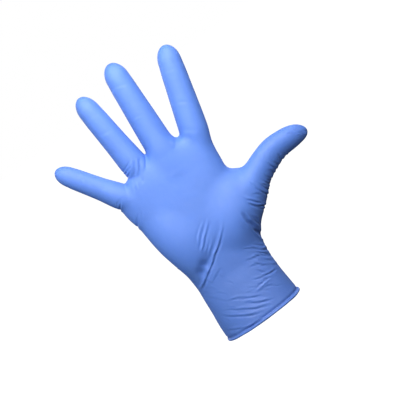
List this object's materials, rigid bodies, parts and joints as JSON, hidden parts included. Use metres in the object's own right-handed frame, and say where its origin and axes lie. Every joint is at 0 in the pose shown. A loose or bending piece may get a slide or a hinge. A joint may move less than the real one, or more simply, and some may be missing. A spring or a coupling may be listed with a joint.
{
  "type": "disposable glove",
  "caption": "Thin stretchy disposable glove in its worn open-hand shape, hollow, with a rolled bead round the cuff opening and film zones that bend at the wrist, knuckles, fingers and thumb.",
  "frame": {"origin": "centre of the cuff opening", "axes": "+Z along the forearm towards the fingers, +X towards the thumb, -Y out of the palm"},
  "size_m": [0.1888, 0.0544, 0.2402],
  "materials": {
    "nitrile": "satin"
  },
  "bodies": {
    "cuff": {"cuff_bead": "nitrile", "cuff_sleeve": "nitrile"},
    "wrist_band": {"wrist_side_fold": "nitrile", "wrist_band": "nitrile"},
    "palm": {"wrist_fold": "nitrile", "palm_film": "nitrile"},
    "knuckles": {"knuckle_fold": "nitrile", "knuckle_film": "nitrile"},
    "index_root": {"index_base_fold": "nitrile", "index_root": "nitrile"},
    "index_middle": {"index_middle_fold": "nitrile", "index_middle": "nitrile"},
    "index_tip": {"index_tip_fold": "nitrile", "index_tip": "nitrile"},
    "middle_root": {"middle_base_fold": "nitrile", "middle_root": "nitrile"},
    "middle_middle": {"middle_middle_fold": "nitrile", "middle_middle": "nitrile"},
    "middle_tip": {"middle_tip_fold": "nitrile", "middle_tip": "nitrile"},
    "ring_root": {"ring_base_fold": "nitrile", "ring_root": "nitrile"},
    "ring_middle": {"ring_middle_fold": "nitrile", "ring_middle": "nitrile"},
    "ring_tip": {"ring_tip_fold": "nitrile", "ring_tip": "nitrile"},
    "little_root": {"little_base_fold": "nitrile", "little_root": "nitrile"},
    "little_middle": {"little_middle_fold": "nitrile", "little_middle": "nitrile"},
    "little_tip": {"little_tip_fold": "nitrile", "little_tip": "nitrile"},
    "thumb_root": {"thumb_root_fold": "nitrile", "thumb_root": "nitrile"},
    "thumb_middle": {"thumb_base_fold": "nitrile", "thumb_middle": "nitrile"},
    "thumb_tip": {"thumb_joint_fold": "nitrile", "thumb_tip": "nitrile"}
  },
  "joints": [
    {"name": "wrist_side", "type": "hinge", "parent": "cuff", "child": "wrist_band", "pos_m": [0, 0, 0.016], "axis": [0, 1, 0], "range_deg": [-15, 15], "deforming": ["wrist_side_fold"]},
    {"name": "wrist_bend", "type": "hinge", "parent": "wrist_band", "child": "palm", "pos_m": [0, 0, 0.045], "axis": [1, 0, 0], "range_deg": [-45, 45], "deforming": ["wrist_fold"]},
    {"name": "knuckle_bend", "type": "hinge", "parent": "palm", "child": "knuckles", "pos_m": [0, -0.002, 0.1355], "axis": [0.9962, 0, 0.0872], "range_deg": [0, 40], "deforming": ["knuckle_fold"]},
    {"name": "index_base_bend", "type": "hinge", "parent": "knuckles", "child": "index_root", "pos_m": [0.04333, -0.0035, 0.16448], "axis": [0.9593, 0, -0.2823], "range_deg": [0, 50], "deforming": ["index_base_fold"]},
    {"name": "index_middle_bend", "type": "hinge", "parent": "index_root", "child": "index_middle", "pos_m": [0.04828, -0.0036, 0.18129], "axis": [0.9593, 0, -0.2823], "range_deg": [0, 80], "deforming": ["index_middle_fold"]},
    {"name": "index_tip_bend", "type": "hinge", "parent": "index_middle", "child": "index_tip", "pos_m": [0.05504, -0.002, 0.20427], "axis": [0.9593, 0, -0.2823], "range_deg": [0, 35], "deforming": ["index_tip_fold"]},
    {"name": "middle_base_bend", "type": "hinge", "parent": "knuckles", "child": "middle_root", "pos_m": [0.01183, -0.0035, 0.17029], "axis": [0.9977, 0, -0.068], "range_deg": [0, 50], "deforming": ["middle_base_fold"]},
    {"name": "middle_middle_bend", "type": "hinge", "parent": "middle_root", "child": "middle_middle", "pos_m": [0.01312, -0.0036, 0.18911], "axis": [0.9977, 0, -0.068], "range_deg": [0, 80], "deforming": ["middle_middle_fold"]},
    {"name": "middle_tip_bend", "type": "hinge", "parent": "middle_middle", "child": "middle_tip", "pos_m": [0.01487, -0.002, 0.21485], "axis": [0.9977, 0, -0.068], "range_deg": [0, 35], "deforming": ["middle_tip_fold"]},
    {"name": "ring_base_bend", "type": "hinge", "parent": "knuckles", "child": "ring_root", "pos_m": [-0.01443, -0.0035, 0.16877], "axis": [0.9973, 0, 0.0732], "range_deg": [0, 50], "deforming": ["ring_base_fold"]},
    {"name": "ring_middle_bend", "type": "hinge", "parent": "ring_root", "child": "ring_middle", "pos_m": [-0.01569, -0.0036, 0.18588], "axis": [0.9973, 0, 0.0732], "range_deg": [0, 80], "deforming": ["ring_middle_fold"]},
    {"name": "ring_tip_bend", "type": "hinge", "parent": "ring_middle", "child": "ring_tip", "pos_m": [-0.01741, -0.002, 0.20926], "axis": [0.9973, 0, 0.0732], "range_deg": [0, 35], "deforming": ["ring_tip_fold"]},
    {"name": "little_base_bend", "type": "hinge", "parent": "knuckles", "child": "little_root", "pos_m": [-0.04112, -0.0035, 0.15203], "axis": [0.8377, 0, 0.5461], "range_deg": [0, 50], "deforming": ["little_base_fold"]},
    {"name": "little_middle_bend", "type": "hinge", "parent": "little_root", "child": "little_middle", "pos_m": [-0.04868, -0.0036, 0.16362], "axis": [0.8377, 0, 0.5461], "range_deg": [0, 80], "deforming": ["little_middle_fold"]},
    {"name": "little_tip_bend", "type": "hinge", "parent": "little_middle", "child": "little_tip", "pos_m": [-0.05902, -0.002, 0.17948], "axis": [0.8377, 0, 0.5461], "range_deg": [0, 35], "deforming": ["little_tip_fold"]},
    {"name": "thumb_swing", "type": "hinge", "parent": "palm", "child": "thumb_root", "pos_m": [0.0518, -0.002, 0.09], "axis": [-0.0929, 0, -0.9957], "range_deg": [0, 45], "deforming": ["thumb_root_fold"]},
    {"name": "thumb_base_bend", "type": "hinge", "parent": "thumb_root", "child": "thumb_middle", "pos_m": [0.07, 0, 0.1], "axis": [0, -1, 0], "range_deg": [0, 40], "deforming": ["thumb_base_fold"]},
    {"name": "thumb_joint_bend", "type": "hinge", "parent": "thumb_middle", "child": "thumb_tip", "pos_m": [0.09, 0, 0.1085], "axis": [0, -1, 0], "range_deg": [0, 80], "deforming": ["thumb_joint_fold"]}
  ],
  "couplings": [
    {"joint": "index_tip_bend", "follows": "index_middle_bend", "ratio": 0.4375},
    {"joint": "middle_tip_bend", "follows": "middle_middle_bend", "ratio": 0.4375},
    {"joint": "ring_tip_bend", "follows": "ring_middle_bend", "ratio": 0.4375},
    {"joint": "little_tip_bend", "follows": "little_middle_bend", "ratio": 0.4375}
  ]
}
